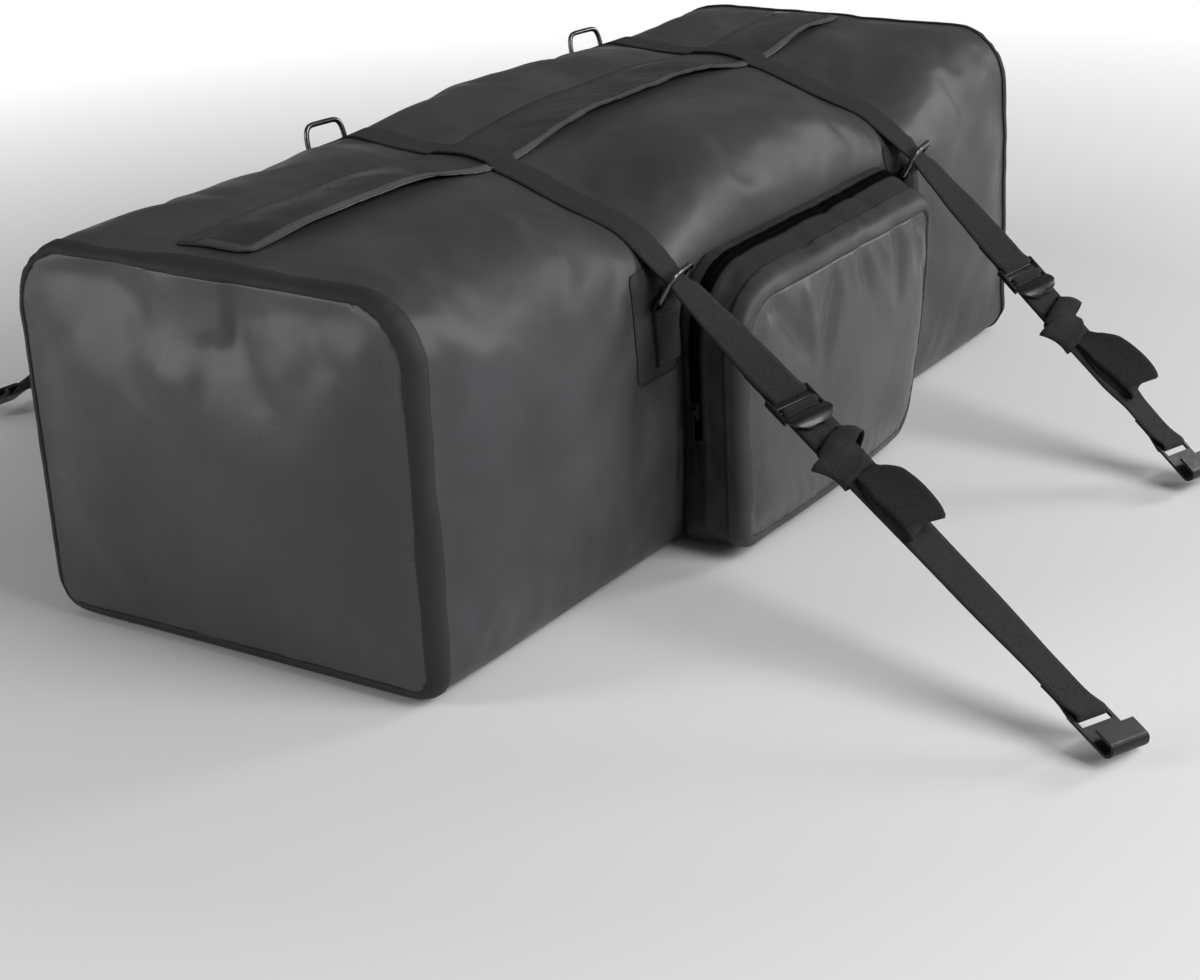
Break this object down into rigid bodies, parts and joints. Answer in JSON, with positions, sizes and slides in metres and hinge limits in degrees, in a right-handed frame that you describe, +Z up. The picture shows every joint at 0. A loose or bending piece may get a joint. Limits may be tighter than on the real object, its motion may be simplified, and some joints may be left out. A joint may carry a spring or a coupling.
{
  "type": "roof cargo bag",
  "caption": "Soft roof cargo bag packed full, with a taped box shape, a flap over its top zip, a side pocket and webbing straps that run through D-rings to ladder-lock buckles and door clips.",
  "frame": {"origin": "centre of the bag's base, on the surface that it lies on", "axes": "+X along the bag from its near end to its far end, -Y towards the side with the pocket, +Z up"},
  "size_m": [1.1346, 1.4518, 0.3769],
  "materials": {
    "tarpaulin": "coated tarpaulin, dark charcoal, soft sheen",
    "panel": "coated tarpaulin, a little lighter",
    "tape": "matte seam tape",
    "flap": "coated cover flap",
    "webbing": "woven webbing, dark grey",
    "steel": "gunmetal wire",
    "zip": "near-black coil zip",
    "plastic": "glossy black",
    "clip": "coated black"
  },
  "bodies": {
    "bag": {"bag_body": "tarpaulin", "near_end_panel": "panel", "far_end_panel": "panel", "near_seam_tape": "tape", "far_seam_tape": "tape", "main_zip_chain": "zip", "top_flap": "flap", "pocket_body": "tarpaulin", "pocket_binding": "tape", "pocket_face": "panel", "pocket_zip_chain": "zip", "near_front_ring_patch": "tape", "near_back_ring_patch": "tape", "near_over_strap": "webbing", "far_front_ring_patch": "tape", "far_back_ring_patch": "tape", "far_over_strap": "webbing", "near_front_ring_tab": "webbing", "near_front_buckle": "plastic", "near_front_lower_strap": "webbing", "near_back_ring_tab": "webbing", "near_back_buckle": "plastic", "near_back_lower_strap": "webbing", "far_front_ring_tab": "webbing", "far_front_buckle": "plastic", "far_front_lower_strap": "webbing", "far_back_ring_tab": "webbing", "far_back_buckle": "plastic", "far_back_lower_strap": "webbing"},
    "near_front_ring_body": {"near_front_d_ring": "steel"},
    "near_front_clip_body": {"near_front_door_clip": "clip"},
    "near_back_ring_body": {"near_back_d_ring": "steel"},
    "near_back_clip_body": {"near_back_door_clip": "clip"},
    "far_front_ring_body": {"far_front_d_ring": "steel"},
    "far_front_clip_body": {"far_front_door_clip": "clip"},
    "far_back_ring_body": {"far_back_d_ring": "steel"},
    "far_back_clip_body": {"far_back_door_clip": "clip"},
    "pocket_slider_body": {"pocket_zip_slider": "steel"},
    "pocket_pull_body": {"pocket_zip_pull": "clip"},
    "main_slider_body": {"main_zip_slider": "steel"},
    "main_pull_body": {"main_zip_pull": "steel"}
  },
  "joints": [
    {"name": "near_front_ring_hinge", "type": "hinge", "parent": "bag", "child": "near_front_ring_body", "pos_m": [-0.20146, -0.23564, 0.26441], "axis": [0.9848, 0.1736, 0], "range_deg": [-14, 10]},
    {"name": "near_front_clip_hinge", "type": "hinge", "parent": "bag", "child": "near_front_clip_body", "pos_m": [-0.35361, -0.71156, 0.0267], "axis": [0.9606, -0.245, -0.1313], "range_deg": [-80, 5]},
    {"name": "near_back_ring_hinge", "type": "hinge", "parent": "bag", "child": "near_back_ring_body", "pos_m": [-0.10427, 0.23346, 0.32766], "axis": [0.9848, -0.1736, 0], "range_deg": [-54, 54]},
    {"name": "near_back_clip_hinge", "type": "hinge", "parent": "bag", "child": "near_back_clip_body", "pos_m": [-0.18943, 0.64724, 0.03475], "axis": [-0.9863, -0.134, 0.0966], "range_deg": [-80, 5]},
    {"name": "far_front_ring_hinge", "type": "hinge", "parent": "bag", "child": "far_front_ring_body", "pos_m": [0.27954, -0.23564, 0.26441], "axis": [0.9848, 0.1736, 0], "range_deg": [-14, 10]},
    {"name": "far_front_clip_hinge", "type": "hinge", "parent": "bag", "child": "far_front_clip_body", "pos_m": [0.2059, -0.56227, 0.03588], "axis": [0.9828, -0.147, -0.1114], "range_deg": [-80, 5]},
    {"name": "far_back_ring_hinge", "type": "hinge", "parent": "bag", "child": "far_back_ring_body", "pos_m": [0.37673, 0.23346, 0.32766], "axis": [0.9848, -0.1736, 0], "range_deg": [-54, 54]},
    {"name": "far_back_clip_hinge", "type": "hinge", "parent": "bag", "child": "far_back_clip_body", "pos_m": [0.29157, 0.64724, 0.03475], "axis": [-0.9863, -0.134, 0.0966], "range_deg": [-80, 5]},
    {"name": "pocket_zip_slide", "type": "slide", "parent": "bag", "child": "pocket_slider_body", "axis": [0, 0, 1], "range_m": [0, 0.055]},
    {"name": "pocket_pull_hinge", "type": "hinge", "parent": "pocket_slider_body", "child": "pocket_pull_body", "pos_m": [-0.18434, -0.24495, 0.148], "axis": [0.1075, 0.9942, 0], "range_deg": [0, 110]},
    {"name": "main_zip_slide", "type": "slide", "parent": "bag", "child": "main_slider_body", "axis": [1, 0, 0], "range_m": [0, 0.12]},
    {"name": "main_pull_swivel", "type": "hinge", "parent": "main_slider_body", "child": "main_pull_body", "pos_m": [-0.4355, 0.014, 0.37381], "axis": [0, 0, 1], "range_deg": [-8, 10]}
  ]
}
